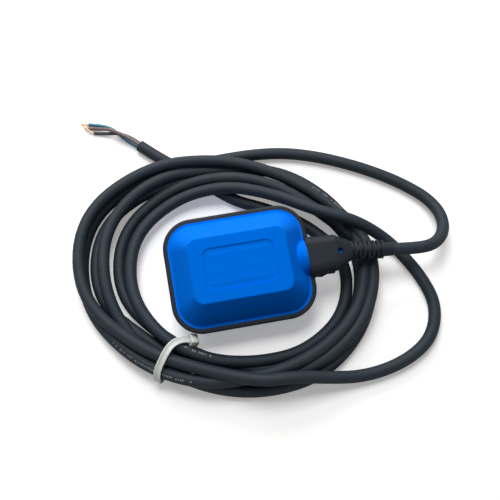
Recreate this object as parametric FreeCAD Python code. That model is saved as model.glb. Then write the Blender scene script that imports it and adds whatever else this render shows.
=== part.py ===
# Float level switch on a coiled rubber cord: two moulded shells hold a sealed capsule in which a
# steel ball rolls and works a microswitch. The switch lies as it is stored, its cord wound round
# it and tied, with the far side of the float tipped up and its boot across the turns.
#
# Float pieces are drawn in the float's own axes, with the seam plane at z = 0 and +X towards the
# cord, and seated() then tips and places them. The cord and its coil are drawn where they lie.
# +X is towards the cord, +Z is up, and the floor is z = 0 under the middle of float and boot.

import FreeCAD
import Part
import math
import os

Vector = FreeCAD.Vector

# ---------------------------------------------------------------- driving dimensions, mm, degrees

# Float, over the rubber band at its seam
float_length = 98.0
float_width = 78.0
float_height = 42.0
float_corner = 20.3

# Shells
wall = 2.5
rim_height = 2.8
rim_ledge = 0.9
face_length = 61.6
face_width = 39.6
face_corner = 4.6
face_round = 3.0
face_slope = 56.0
recess_length = 47.0
recess_width = 28.0
recess_corner = 5.0
recess_depth = 0.6
boss_radius = 12.0
tongue_radius = 6.6
tongue_length = 26.5
rib_thickness = 1.8
rib_setback = 7.0
rib_spacing_x = 40.0
rib_spacing_y = 24.0

# Rubber band and boot, moulded over the shells in one piece
band_width = 3.2
band_height = 5.2
band_round = 1.6
key_depth = 0.7
key_height = 1.6
boot_width = 26.2
boot_height = 22.0
boot_corner = 6.0
boot_straight = 20.0
boot_taper = 11.0
neck_radius = 6.3
neck_bend = 8.0
pin_hole_radius = 1.8
pin_hole_setback = 4.2
relief_slots = 7
relief_pitch = 3.05
relief_slot_width = 1.4
relief_slot_depth = 1.5
relief_bridge = 3.4
relief_lead = 0.4
collar_length = 6.95
collar_radius = 5.0
lip_radius = 4.5
flash_thickness = 0.5

# Cord
cord_diameter = 8.5
cord_clearance = 0.05
core_diameter = 2.8
strand_diameter = 1.5

# Sealed capsule
capsule_overhang = 2.2
capsule_height = 26.0
capsule_corner = 7.0
capsule_wall = 2.0
lid_thickness = 3.0
gasket_thickness = 1.0
lid_lip = 1.5
lid_lip_gap = 0.2
grommet_radius = 6.2
grommet_flange = 1.4
grommet_flange_length = 1.2

# Ball and its track
ball_radius = 8.0
ball_travel = 12.0
ball_gap = 0.3
track_mouth = 15.2
track_stop = 2.3

# Lever and its pin
pivot_x = 11.0
pivot_y = -4.5
lever_thickness = 0.5
lever_width = 4.0
lever_reach = 35.0
ball_lead = 19.0
lever_lift = 3.0
lever_gap = 0.15
pin_radius = 0.5
pin_clearance = 0.05
eye_radius = 1.15

# Microswitch
case_length = 20.0
case_width = 10.0
case_thickness = 6.5
case_wall = 1.0
case_lead = 2.0
case_offset = 3.6
plunger_radius = 1.0
plunger_offset = 8.0
plunger_tip_gap = 0.25
plunger_gap = 0.12
plunger_clearance = 0.06
blade_level = 3.3
blade_thickness = 0.3
strip_width = 3.0
strip_thickness = 0.6
contact_radius = 0.9
contact_height = 0.75
contact_gap = 0.08
terminal_tops = (10.9, 13.0, 15.1)
lug_length = 4.0
lug_width = 5.0
lug_thickness = 2.2
screw_radius = 1.0
screw_head_radius = 1.9
screw_head_height = 1.3
screw_depth = 5.5

# Cord clamp and inner wires
clamp_length = 4.2
clamp_half_width = 9.0
clamp_height = 6.5
clamp_split = 0.4
clamp_screw_y = 6.8
clamp_screw_radius = 1.2
clamp_head_radius = 2.1
clamp_head_height = 1.6
clamp_screw_depth = 7.0
wire_diameter = 1.8
wire_circle = 2.2
wire_spacing = 2.1

# How the switch lies
lying_tilt = 12.0

# Coil: bearing from its centre, reach of its inner and of its outer edge
coil_centre = (-28.0, 3.0)
coil_height = 16.6
coil_shoulder = 5.0
coil_foot = 2.5
coil_bearings = (0, 30, 60, 90, 120, 135, 150, 165, 180, 210, 225, 240, 270, 300, 330)
coil_inner = (72.3, 55.5, 48.8, 61.8, 68.5, 72.3, 74.2, 73.2, 71.6, 64.6, 60.8, 58.6, 60, 67.2, 74.1)
coil_outer = (99.8, 91.8, 90.8, 95.5, 107.5, 115.2, 121, 116.5, 110.5, 96.2, 87.6, 85.8, 88.8, 96, 99.3)

# Tie round the coil
tie_bearing = 225.0
tie_width = 4.8
tie_thickness = 1.2
tie_span = 26.6
tie_head = (8.6, 6.4, 5.6)
tie_tip = 0.8

# Routes of the cord's open stretches; the lead goes on from the boot's mouth
lead_start_run = 18.0
lead_route = [(110.2, -3.4, 20.6), (121.2, 8.4, 15), (123.8, 24.2, 9.4), (118, 38.8, 5.6), (106, 50.2, 4.3),
              (90, 62.5, 4.3), (69.5, 75, 4.3), (46, 86, 4.3), (21, 92.8, 4.3), (-2, 94.8, 4.3),
              (-22, 92, 4.3)]
loop_route = [(5, -77.5, 12.7), (20, -80.5, 9.5), (38, -82, 5), (58, -80.5, 4.3), (76.5, -75.3, 4.3),
              (91, -66.5, 4.3), (99, -53, 4.3), (101.3, -38.5, 4.3), (97.5, -22.5, 4.3),
              (90.5, -6.5, 4.3), (83, 8, 4.9), (74, 19, 8.5), (66, 27, 10), (57, 34, 10), (50, 39, 10)]
tail_route = [(-56.0, 89.5, 4.3), (-66.0, 98.5, 4.3), (-75.5, 108.0, 4.3), (-84.2, 117.0, 4.3)]
core_routes = {
    "core_blue": [(-85.2, 116.1, 3.2), (-89.3, 120.3, 2.1), (-94.2, 125.0, 1.5), (-100.0, 131.8, 1.5),
                  (-105.6, 137.8, 1.5), (-113.4, 141.8, 1.5), (-120.8, 143.6, 1.5)],
    "core_brown": [(-84.4, 116.8, 6.0), (-88.7, 121.1, 6.9), (-93.4, 125.3, 7.6), (-99.2, 130.4, 7.8),
                   (-105.4, 135.4, 5.9), (-113.0, 138.1, 2.4), (-121.0, 140.2, 1.5)],
    "core_black": [(-83.0, 118.1, 3.7), (-87.1, 122.7, 3.7), (-92.2, 127.0, 4.0), (-98.6, 130.2, 4.6),
                   (-105.0, 132.0, 3.1), (-111.5, 134.1, 1.6), (-117.4, 135.6, 1.5)],
}
copper_routes = {
    "copper_blue": [(-120.8, 143.6, 1.5), (-126.2, 145.0, 1.4)],
    "copper_brown": [(-121.0, 140.2, 1.5), (-124.4, 141.1, 1.4)],
    "copper_black": [(-117.4, 135.6, 1.5), (-120.0, 136.8, 2.6), (-122.1, 139.4, 3.9), (-123.0, 142.4, 4.1),
                     (-123.2, 145.4, 4.0)],
}

# ---------------------------------------------------------------- sizes worked out from those above

rim_length = float_length - 2 * band_width
rim_width = float_width - 2 * band_width
rim_corner = float_corner - band_width
half_height = float_height / 2
rim_end = rim_length / 2
tongue_end = rim_end + tongue_length
boot_start = rim_end
neck_x = boot_start + boot_straight + boot_taper
relief_length = relief_lead + relief_slots * relief_pitch + collar_length
boot_reach = (neck_x + relief_length * math.cos(math.radians(neck_bend))
              + lip_radius * math.sin(math.radians(neck_bend)))
float_x = -(boot_reach - float_length / 2) / 2
cord_radius = cord_diameter / 2
bore_radius = cord_radius + cord_clearance

capsule_length = face_length + 2 * capsule_overhang
capsule_width = face_width + capsule_overhang
capsule_top = capsule_height / 2
capsule_floor = -capsule_top + capsule_wall
capsule_inside_x = capsule_length / 2 - capsule_wall
capsule_inside_y = capsule_width / 2 - capsule_wall
gasket_top = capsule_top - lid_thickness
gasket_base = gasket_top - gasket_thickness

# The lever's pin line passes lever_lift inside the ball's reach, so the ball lifts the lever
ball_reach = ball_radius + lever_thickness / 2 + lever_gap
ball_y = pivot_y - (ball_reach - lever_lift)
ball_end_x = pivot_x - ball_lead
ball_start_x = ball_end_x - ball_travel

case_x0 = pivot_x + case_lead - case_length
case_x1 = pivot_x + case_lead
case_y0 = pivot_y + case_offset
case_y1 = case_y0 + case_width
case_z = case_thickness / 2
plunger_x = pivot_x - plunger_offset
blade_y = case_y0 + case_wall + blade_level
fixed_x = case_x0 + 3.5

clamp_x1 = capsule_inside_x - 0.4
clamp_x0 = clamp_x1 - clamp_length
jacket_end_x = clamp_x0 - 0.4


def lever_angle(ball_x):
    """Angle that lifts the lever clear of the ball at ball_x, in radians from the track's line."""
    across = pivot_y - ball_y
    along = pivot_x - ball_x
    return math.asin(ball_reach / math.hypot(across, along)) - math.atan2(across, along)


rest_angle = lever_angle(ball_start_x)
pressed_angle = lever_angle(ball_end_x)


def lever_face(angle, distance):
    """Height over the pin of the lever's face on the plunger's side, at a distance from the pin."""
    return distance * math.tan(angle) + lever_thickness / 2 / math.cos(angle)


plunger_stroke = lever_face(pressed_angle, plunger_offset) - lever_face(rest_angle, plunger_offset)
blade_swing = math.atan(plunger_stroke / plunger_offset)
contact_stroke = blade_swing * (pivot_x - fixed_x)


# ---------------------------------------------------------------- plain shapes

def block(x0, x1, y0, y1, z0, z1):
    return Part.makeBox(x1 - x0, y1 - y0, z1 - z0, Vector(x0, y0, z0))


def rod(radius, start, end):
    start, end = Vector(*start), Vector(*end)
    return Part.makeCylinder(radius, (end - start).Length, start, end - start)


def rounded_outline(length, width, corner, z):
    """Closed outline of a rectangle with round corners, centred on the z axis."""
    x, y = length / 2 - corner, width / 2 - corner
    edges = []
    for sx, sy, turn in ((1, 1, 0), (-1, 1, 90), (-1, -1, 180), (1, -1, 270)):
        centre = Vector(sx * x, sy * y, z)
        edges.append(Part.makeCircle(corner, centre, Vector(0, 0, 1), turn, turn + 90))
    runs = []
    for first, second in zip(edges, edges[1:] + edges[:1]):
        runs.append(first)
        runs.append(Part.makeLine(first.Vertexes[-1].Point, second.Vertexes[0].Point))
    return Part.Wire(runs)


def rounded_prism(length, width, corner, z0, z1):
    face = Part.Face(rounded_outline(length, width, corner, z0))
    return face.extrude(Vector(0, 0, z1 - z0))


def mirrored(shape):
    """The same shape on the other side of the seam plane."""
    return shape.mirror(Vector(0, 0, 0), Vector(0, 0, 1))


def round_path(points, closed=False):
    """Straight runs joined by tangent arcs; an arc takes 0.45 of the shorter of its two runs.
    Returns the wire and the list of arc radii."""
    corners = [Vector(*p) for p in points]
    count = len(corners)
    arcs = {}
    for i in range(count):
        if not closed and i in (0, count - 1):
            continue
        before, at, after = corners[i - 1], corners[i], corners[(i + 1) % count]
        back, on = before - at, after - at
        reach = 0.45 * min(back.Length, on.Length)
        half_turn = (math.pi - back.getAngle(on)) / 2
        back.normalize()
        on.normalize()
        radius = reach / math.tan(half_turn)
        middle = back + on
        middle.normalize()
        centre = at + middle * (radius / math.cos(half_turn))
        arcs[i] = (at + back * reach, centre - middle * radius, at + on * reach, radius)
    edges = []
    steps = range(count) if closed else range(count - 1)
    for i in steps:
        j = (i + 1) % count
        start = arcs[i][2] if i in arcs else corners[i]
        end = arcs[j][0] if j in arcs else corners[j]
        edges.append(Part.LineSegment(start, end).toShape())
        if j in arcs:
            edges.append(Part.Arc(*arcs[j][:3]).toShape())
    return Part.Wire(edges), [arc[3] for arc in arcs.values()]


def tube(points, diameter):
    """Round cord along a route of points."""
    path, radii = round_path(points)
    first = path.OrderedEdges[0]
    start, direction = first.valueAt(first.FirstParameter), first.tangentAt(first.FirstParameter)
    if (start - Vector(*points[0])).Length > 0.01:
        start, direction = first.valueAt(first.LastParameter), -first.tangentAt(first.LastParameter)
    ring = Part.Wire([Part.makeCircle(diameter / 2, start, direction)])
    solid = Part.Wire(path.OrderedEdges).makePipeShell([ring], True, False)
    share = solid.Volume / (math.pi * diameter ** 2 / 4 * path.Length)
    return solid, min(radii) if radii else 0.0, path.Length, share


def seated(shape):
    """Tips a float piece about the float's middle and sets it on the floor, in its place."""
    lying = shape.copy()
    lying.rotate(Vector(0, 0, 0), Vector(1, 0, 0), lying_tilt)
    lying.translate(Vector(float_x, 0, seat_height()))
    return lying


def face_steps():
    """Steps of the rounding between bevel and face, from the bevel in: distance out and distance down."""
    leans = [math.radians(face_slope * share) for share in (1, 0.7, 0.35, 0)]
    return [(face_round * math.sin(lean), face_round * (1 - math.cos(lean))) for lean in leans]


def seat_height():
    """Height of the float's middle when the near edge of its lower face is on the floor."""
    tilt = math.radians(lying_tilt)
    return max((half_height - down) * math.cos(tilt) + (face_width / 2 + out) * math.sin(tilt)
               for out, down in face_steps())


# ---------------------------------------------------------------- shells

def pillow(grow, top, ledge):
    """Half of the float from the seam up: upright rim, wide bevels that round off into a flat face. It is
    moved out by grow."""
    length, width, corner = rim_length + 2 * grow, rim_width + 2 * grow, rim_corner + grow
    rim = rounded_prism(length, width, corner, 0, rim_height)
    foot = rounded_outline(length - 2 * ledge, width - 2 * ledge, corner - ledge, rim_height - 0.8)
    sections = [foot]
    for out, down in face_steps():
        sections.append(rounded_outline(face_length + 2 * (out + grow), face_width + 2 * (out + grow),
                                        face_corner + out + grow / 2, top - down))
    return rim.fuse(Part.makeLoft(sections, True, True))


def shell_solid():
    """Outer form of one shell, filled: pillow, the swelling round the cord and the tongue in the boot."""
    form = pillow(0, half_height, rim_ledge)
    form = form.fuse(rod(boss_radius, (capsule_inside_x, 0, 0), (rim_end, 0, 0)))
    form = form.fuse(rod(tongue_radius, (rim_end - wall, 0, 0), (tongue_end, 0, 0)))
    upper_side = block(-float_length, float_length, -float_width, float_width, 0, float_height)
    return form.common(upper_side)


def seat_ribs():
    """Ribs that reach from inside a face to the capsule and grip it."""
    top = half_height - wall + 0.5
    ribs = []
    reach_x, reach_y = capsule_length / 2 - rib_setback, capsule_width / 2 - rib_setback + 2
    half = rib_thickness / 2
    for y in (-rib_spacing_y / 2, rib_spacing_y / 2):
        ribs.append(block(-reach_x, reach_x, y - half, y + half, capsule_top, top))
    for x in (-rib_spacing_x / 2, rib_spacing_x / 2):
        ribs.append(block(x - half, x + half, -reach_y, reach_y, capsule_top, top))
    return ribs[0].multiFuse(ribs[1:])


def shell():
    """One shell with its wall, the recess in its face, capsule ribs, seam rebate and cord bore."""
    form = shell_solid()
    hollow = pillow(-wall, half_height - wall, rim_ledge)
    form = form.cut(hollow).fuse(seat_ribs())
    recess_floor = half_height - recess_depth
    recess = rounded_prism(recess_length, recess_width, recess_corner, recess_floor, float_height)
    rebate = rounded_prism(float_length, float_width, float_corner, 0, key_height / 2).cut(
        rounded_prism(rim_length - 2 * key_depth, rim_width - 2 * key_depth, rim_corner - key_depth,
                      0, key_height / 2))
    beside_cord = block(rim_end - 12.0, float_length, -boss_radius, boss_radius, 0, key_height / 2)
    form = form.cut(recess).cut(rebate.cut(beside_cord)).cut(cord_bore())
    return form.removeSplitter()


# ---------------------------------------------------------------- rubber band and boot

def boot_axis():
    """Route of the cord through float and boot; it bends a little at the boot's neck."""
    bend = math.radians(neck_bend)
    end = (neck_x + relief_length * math.cos(bend), -relief_length * math.sin(bend), 0)
    return [(jacket_end_x, 0, 0), (neck_x, 0, 0), end]


def cord_bore():
    return tube(boot_axis(), 2 * bore_radius)[0]


def band():
    """Ring round the seam, rounded outside, with a key that fills the shells' rebate."""
    half = band_height / 2
    ring = rounded_prism(float_length, float_width, float_corner, -half, half)
    outer = [e for e in ring.Edges if abs(abs(e.CenterOfMass.z) - half) < 0.01]
    ring = ring.makeFillet(band_round, outer)
    inner = rounded_prism(rim_length, rim_width, rim_corner, -float_height, float_height)
    key = rounded_prism(rim_length, rim_width, rim_corner, -key_height / 2, key_height / 2)
    key = key.cut(rounded_prism(rim_length - 2 * key_depth, rim_width - 2 * key_depth, rim_corner - key_depth,
                                -key_height / 2, key_height / 2))
    beside_cord = block(rim_end - 12.0, float_length, -boss_radius, boss_radius, -float_height, float_height)
    return ring.cut(inner).fuse(key.cut(beside_cord))


def boot_body():
    """Wide, flat-sided start of the boot and its taper to the neck."""
    def section(width, height, corner, x):
        outline = rounded_outline(height, width, corner, 0)
        outline.rotate(Vector(0, 0, 0), Vector(0, 1, 0), 90)
        outline.translate(Vector(x, 0, 0))
        return outline
    neck = 2 * neck_radius
    straight_end = boot_start + boot_straight
    return Part.makeLoft([
        section(boot_width, boot_height, boot_corner, boot_start),
        section(boot_width - 2.4, boot_height - 1.6, boot_corner, straight_end),
        section(neck + 0.2, neck + 0.2, neck_radius, neck_x),
    ], True, True)


def relief_sleeve():
    """Ribbed sleeve: a round sleeve with slots that leave bridges in turn above and beside the cord."""
    sleeve = rod(neck_radius, (-1.0, 0, 0), (relief_length - collar_length, 0, 0))
    floor_radius = neck_radius - relief_slot_depth
    for i in range(relief_slots):
        x0 = relief_lead + i * relief_pitch
        x1 = x0 + relief_slot_width
        slot = rod(neck_radius + 1, (x0, 0, 0), (x1, 0, 0)).cut(rod(floor_radius, (x0, 0, 0), (x1, 0, 0)))
        half = relief_bridge / 2
        reach = neck_radius + 1
        if i % 2:
            bridge = block(x0, x1, -half, half, -reach, reach)
        else:
            bridge = block(x0, x1, -reach, reach, -half, half)
        sleeve = sleeve.cut(slot.cut(bridge))
    collar = Part.makeCone(collar_radius, lip_radius, collar_length,
                           Vector(relief_length - collar_length, 0, 0), Vector(1, 0, 0))
    sleeve = sleeve.fuse(collar)
    sleeve.rotate(Vector(0, 0, 0), Vector(0, 0, 1), -neck_bend)
    sleeve.translate(Vector(neck_x, 0, 0))
    return sleeve


def flash():
    """Thin uneven skin of rubber left along the mould's parting line on the boot's near side."""
    y = -boot_width / 2
    outline = [(boot_start + 1.5, y + 1), (boot_start + 2.0, y - 2.4), (boot_start + 4.5, y - 1.0),
               (boot_start + 8.0, y - 1.7), (boot_start + 12.0, y - 0.3), (boot_start + 17.0, y - 0.6),
               (boot_start + 19.0, y + 2)]
    corners = [Vector(px, py, -flash_thickness / 2) for px, py in outline]
    face = Part.Face(Part.makePolygon(corners + corners[:1]))
    return face.extrude(Vector(0, 0, flash_thickness))


def seam_and_boot():
    """Band, boot, ribbed sleeve and flash as the one rubber moulding that they are."""
    hole_x = tongue_end - pin_hole_setback
    form = boot_body().fuse([relief_sleeve(), flash()])
    shells = shell_solid()
    form = form.fuse(band()).cut(shells).cut(mirrored(shells)).cut(cord_bore())
    pin_hole = rod(pin_hole_radius, (hole_x, 0, 0), (hole_x, 0, boot_height))
    pin_hole = pin_hole.fuse(mirrored(pin_hole)).cut(rod(tongue_radius, (rim_end, 0, 0), (tongue_end, 0, 0)))
    return form.cut(pin_hole).removeSplitter()


# ---------------------------------------------------------------- sealed capsule

def capsule_base():
    """Open box with a floor, the posts of the microswitch, the clamp's saddle and the cord's hole."""
    outside = rounded_prism(capsule_length, capsule_width, capsule_corner, -capsule_top, gasket_base)
    inside = rounded_prism(2 * capsule_inside_x, 2 * capsule_inside_y, capsule_corner - capsule_wall,
                           capsule_floor, gasket_base)
    form = outside.cut(inside)
    for x0 in lug_starts():
        post = block(x0, x0 + lug_length, lug_y0(), lug_y0() + lug_width, capsule_floor, -case_z)
        form = form.fuse(post)
    saddle = block(clamp_x0, clamp_x1, -clamp_half_width, clamp_half_width, capsule_floor, -clamp_split)
    form = form.fuse(saddle)
    form = form.cut(rod(grommet_radius, (capsule_inside_x - 0.5, 0, 0), (capsule_length / 2 + 1, 0, 0)))
    form = form.cut(cord_bore())
    for hole in switch_screw_shanks() + clamp_screw_shanks():
        form = form.cut(hole)
    return form.removeSplitter()


def lid_lip_ring(gap):
    """Lip under the lid, grown all round by a gap."""
    corner = capsule_corner - capsule_wall - lid_lip_gap
    outer = 2 * lid_lip_gap - 2 * gap
    x, y = 2 * capsule_inside_x - outer, 2 * capsule_inside_y - outer
    z0 = gasket_base + gasket_thickness - lid_lip - gap
    ring = rounded_prism(x, y, corner + gap, z0, gasket_top)
    inner = 2 * wall + 4 * gap
    return ring.cut(rounded_prism(x - inner, y - inner, corner + gap - inner / 2 + 1.0, z0, gasket_top))


def capsule_lid():
    """Lid with a lip that drops inside the base's wall."""
    plate = rounded_prism(capsule_length, capsule_width, capsule_corner, gasket_top, capsule_top)
    return plate.fuse(lid_lip_ring(0)).removeSplitter()


def capsule_gasket():
    ring = rounded_prism(capsule_length, capsule_width, capsule_corner, gasket_base, gasket_top)
    return ring.cut(rounded_prism(2 * capsule_inside_x, 2 * capsule_inside_y, capsule_corner - capsule_wall,
                                  gasket_base, gasket_top))


def cord_grommet():
    """Rubber bush that seals the cord in the capsule's end wall, with a flange outside."""
    outside = capsule_length / 2
    form = rod(grommet_radius, (capsule_inside_x, 0, 0), (outside, 0, 0))
    flange = rod(grommet_radius + grommet_flange, (outside, 0, 0), (outside + grommet_flange_length, 0, 0))
    return form.fuse(flange).cut(cord_bore()).removeSplitter()


# ---------------------------------------------------------------- ball and track

def ball_track():
    """Channel round the ball, open towards the lever by a mouth that the ball snaps through."""
    bore = ball_radius + ball_gap
    mouth_y = ball_y + math.sqrt(bore ** 2 - (track_mouth / 2) ** 2)
    x1 = ball_end_x + bore + track_stop
    form = block(-capsule_inside_x, x1, -capsule_inside_y, mouth_y, capsule_floor, gasket_top - 0.2)
    room = rounded_prism(2 * capsule_inside_x, 2 * capsule_inside_y, capsule_corner - capsule_wall,
                         capsule_floor, gasket_top)
    channel = rod(bore, (ball_start_x, ball_y, 0), (ball_end_x, ball_y, 0))
    for x in (ball_start_x, ball_end_x):
        channel = channel.fuse(Part.makeSphere(bore, Vector(x, ball_y, 0)))
    return form.common(room).cut(lid_lip_ring(lid_lip_gap)).cut(channel).removeSplitter()


def steel_ball():
    return Part.makeSphere(ball_radius, Vector(ball_start_x, ball_y, 0))


# ---------------------------------------------------------------- microswitch

def lug_starts():
    return (case_x0 - lug_length, case_x1)


def lug_y0():
    return case_y0 + 0.45 * case_width


def lug_middles():
    return [(x0 + lug_length / 2, lug_y0() + lug_width / 2) for x0 in lug_starts()]


def switch_screw_shanks():
    top = -case_z + lug_thickness
    return [rod(screw_radius, (x, y, -case_z - screw_depth), (x, y, top)) for x, y in lug_middles()]


def switch_screws():
    """Two pan-head screws through the lugs."""
    top = -case_z + lug_thickness
    screws = []
    for shank, (x, y) in zip(switch_screw_shanks(), lug_middles()):
        head = rod(screw_head_radius, (x, y, top), (x, y, top + screw_head_height))
        slot = block(x - screw_head_radius, x + screw_head_radius, y - 0.25, y + 0.25,
                     top + screw_head_height - 0.5, top + screw_head_height)
        screws.append(shank.fuse(head).cut(slot).removeSplitter())
    return Part.makeCompound(screws)


def pin_ear(z0, z1):
    """Ear of the case that holds the lever's pin."""
    ear = block(pivot_x - 1.4, pivot_x + 1.4, pivot_y, case_y0 + 0.2, z0, z1)
    ear = ear.fuse(rod(1.4, (pivot_x, pivot_y, z0), (pivot_x, pivot_y, z1)))
    return ear.cut(rod(pin_radius, (pivot_x, pivot_y, z0), (pivot_x, pivot_y, z1)))


def switch_case():
    """Open moulded case with lugs, plunger guide, terminal slots and the lower ear."""
    form = block(case_x0, case_x1, case_y0, case_y1, -case_z, case_z - case_wall)
    form = form.cut(block(case_x0 + case_wall, case_x1 - case_wall, case_y0 + case_wall, case_y1 - case_wall,
                          -case_z + case_wall, case_z))
    for x0 in lug_starts():
        form = form.fuse(block(x0, x0 + lug_length, lug_y0(), lug_y0() + lug_width,
                               -case_z, -case_z + lug_thickness))
    form = form.fuse(pin_ear(-case_z, -case_z + case_wall))
    form = form.cut(rod(plunger_radius + plunger_clearance, (plunger_x, case_y0 - 1, 0),
                        (plunger_x, case_y0 + case_wall + 0.5, 0)))
    for hole in switch_screw_shanks():
        form = form.cut(hole)
    for strip in (terminal_com(), terminal_no(), terminal_nc()):
        form = form.cut(strip)
    return form.removeSplitter()


def switch_cover():
    """Lid of the case, with the upper ear."""
    form = block(case_x0, case_x1, case_y0, case_y1, case_z - case_wall, case_z)
    return form.fuse(pin_ear(case_z - case_wall, case_z)).removeSplitter()


def switch_plunger():
    """Button that the lever pushes; its collar keeps it in the case."""
    tip = pivot_y + lever_face(rest_angle, plunger_offset) + plunger_tip_gap
    inner = blade_y - blade_thickness / 2 - plunger_gap
    collar_y = case_y0 + case_wall + 0.15
    stem = rod(plunger_radius, (plunger_x, tip + 0.4, 0), (plunger_x, inner - 0.3, 0))
    dome = Part.makeCone(0.6, plunger_radius, 0.4, Vector(plunger_x, tip, 0), Vector(0, 1, 0))
    inner_dome = Part.makeCone(plunger_radius, 0.5, 0.3, Vector(plunger_x, inner - 0.3, 0), Vector(0, 1, 0))
    collar = rod(plunger_radius + 0.6, (plunger_x, collar_y, 0), (plunger_x, collar_y + 0.8, 0))
    return stem.fuse([dome, inner_dome, collar]).removeSplitter()


def switch_lever():
    """Sheet lever with an eye rolled round its pin and a round end that lies on the ball."""
    half = lever_width / 2
    eye = rod(eye_radius, (0, 0, -half), (0, 0, half))
    tip = rod(lever_thickness / 2, (-lever_reach, 0, -half), (-lever_reach, 0, half))
    sheet = block(-lever_reach, 0, -lever_thickness / 2, lever_thickness / 2, -half, half)
    form = sheet.fuse([eye, tip]).cut(rod(pin_radius + pin_clearance, (0, 0, -half), (0, 0, half)))
    form = form.removeSplitter()
    form.rotate(Vector(0, 0, 0), Vector(0, 0, 1), -math.degrees(rest_angle))
    form.translate(Vector(pivot_x, pivot_y, 0))
    return form


def lever_pin():
    return rod(pin_radius, (pivot_x, pivot_y, -case_z), (pivot_x, pivot_y, case_z))


def contact_blade():
    """Moving contact: a strip from the common terminal to a rivet between the fixed contacts."""
    half = strip_width / 2
    strip = block(fixed_x - contact_radius, pivot_x - strip_thickness / 2 - 0.1,
                  blade_y - blade_thickness / 2, blade_y + blade_thickness / 2, -half, half)
    rivet = rod(contact_radius, (fixed_x, blade_y - contact_height, 0),
                (fixed_x, blade_y + contact_height, 0))
    return strip.fuse(rivet).removeSplitter()


def terminal_com():
    """Straight terminal at which the blade is hung."""
    half = strip_thickness / 2
    return block(pivot_x - half, pivot_x + half, blade_y - 0.8, terminal_tops[0],
                 -strip_width / 2, strip_width / 2)


def terminal_no():
    """Terminal with the contact that the pressed blade meets."""
    half = strip_width / 2
    y0 = blade_y + contact_height + contact_stroke + contact_gap + 0.06
    plate_y = y0 + contact_height
    riser_x = fixed_x + 2.9
    plate = block(fixed_x - 1.2, riser_x + strip_thickness, plate_y, plate_y + strip_thickness, -half, half)
    riser = block(riser_x, riser_x + strip_thickness, plate_y, terminal_tops[1], -half, half)
    button = rod(contact_radius, (fixed_x, y0, 0), (fixed_x, plate_y, 0))
    return plate.fuse([riser, button]).removeSplitter()


def terminal_nc():
    """Terminal that turns under the blade; the free blade rests on its contact."""
    half = strip_width / 2
    top = blade_y - contact_height - contact_gap
    plate_y = top - contact_height
    riser_x = case_x0 + case_wall + 0.3
    plate = block(riser_x, fixed_x + contact_radius, plate_y - strip_thickness, plate_y, -half, half)
    riser = block(riser_x, riser_x + strip_thickness, plate_y - strip_thickness, terminal_tops[2],
                  -half, half)
    button = rod(contact_radius, (fixed_x, plate_y, 0), (fixed_x, top, 0))
    return plate.fuse([riser, button]).removeSplitter()


# ---------------------------------------------------------------- cord clamp, cord in the float, wires

def clamp_screw_shanks():
    return [rod(clamp_screw_radius, ((clamp_x0 + clamp_x1) / 2, y, -clamp_screw_depth),
                ((clamp_x0 + clamp_x1) / 2, y, clamp_height)) for y in (-clamp_screw_y, clamp_screw_y)]


def cord_clamp():
    """Bridge screwed down over the cord's jacket."""
    form = block(clamp_x0, clamp_x1, -clamp_half_width, clamp_half_width, clamp_split, clamp_height)
    form = form.cut(cord_bore())
    for hole in clamp_screw_shanks():
        form = form.cut(hole)
    return form.removeSplitter()


def clamp_screws():
    screws = []
    x = (clamp_x0 + clamp_x1) / 2
    for shank, y in zip(clamp_screw_shanks(), (-clamp_screw_y, clamp_screw_y)):
        head = rod(clamp_head_radius, (x, y, clamp_height), (x, y, clamp_height + clamp_head_height))
        slot = block(x - clamp_head_radius, x + clamp_head_radius, y - 0.3, y + 0.3,
                     clamp_height + clamp_head_height - 0.6, clamp_height + clamp_head_height)
        screws.append(shank.fuse(head).cut(slot).removeSplitter())
    return Part.makeCompound(screws)


def cord_in_float():
    return tube(boot_axis(), cord_diameter)[0]


def inner_wire(angle, turn_x, terminal_x, y):
    """Wire from the cord's end, round to the side of a terminal strip."""
    start_y = wire_circle * math.cos(math.radians(angle))
    start_z = wire_circle * math.sin(math.radians(angle))
    end_x = terminal_x + strip_thickness
    return tube([(jacket_end_x, start_y, start_z), (turn_x, start_y, start_z), (turn_x, y, 0), (end_x, y, 0)],
                wire_diameter)[0]


def inner_wires():
    """The three wires bend one outside the other, each to its own terminal."""
    first_x = case_x1 + lug_length + wire_diameter / 2 + 0.3
    below = wire_diameter / 2 - 0.15
    ends = (pivot_x - strip_thickness / 2, fixed_x + 2.9, case_x0 + case_wall + 0.3)
    wires = {}
    for i, (name, angle) in enumerate((("wire_brown", 210), ("wire_black", 90), ("wire_blue", 330))):
        wires[name] = inner_wire(angle, first_x + i * wire_spacing, ends[i], terminal_tops[i] - below)
    return wires


# ---------------------------------------------------------------- free cord, coil and tie

def boot_mouth():
    """Where the cord leaves the boot as the float lies, and which way it points there."""
    inside, mouth = [seated(Part.Vertex(*p)).Point for p in boot_axis()[1:]]
    direction = mouth - inside
    direction.normalize()
    return mouth, direction


def cord_lead_route():
    mouth, direction = boot_mouth()
    ahead = mouth + direction * lead_start_run
    return [tuple(mouth), tuple(ahead)] + lead_route


def coil():
    """Outer form of the tied turns, flat underneath, with a shoulder where the upper turns round off."""
    wires = []
    for reaches in (coil_outer, coil_inner):
        corners = [(coil_centre[0] + reach * math.cos(math.radians(bearing)),
                    coil_centre[1] + reach * math.sin(math.radians(bearing)), 0)
                   for bearing, reach in zip(coil_bearings, reaches)]
        wires.append(round_path(corners, closed=True)[0])
    ring = Part.Face(wires[0]).cut(Part.Face(wires[1])).extrude(Vector(0, 0, coil_height))
    top = [e for e in ring.Edges if e.BoundBox.ZMin > coil_height - 0.01]
    ring = ring.makeChamfer(coil_shoulder, top)
    bottom = [e for e in ring.Edges if e.BoundBox.ZMax < 0.01]
    ring = ring.makeChamfer(coil_foot, bottom)
    return max(ring.cut(cable_tie()).Solids, key=lambda solid: solid.Volume)


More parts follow.
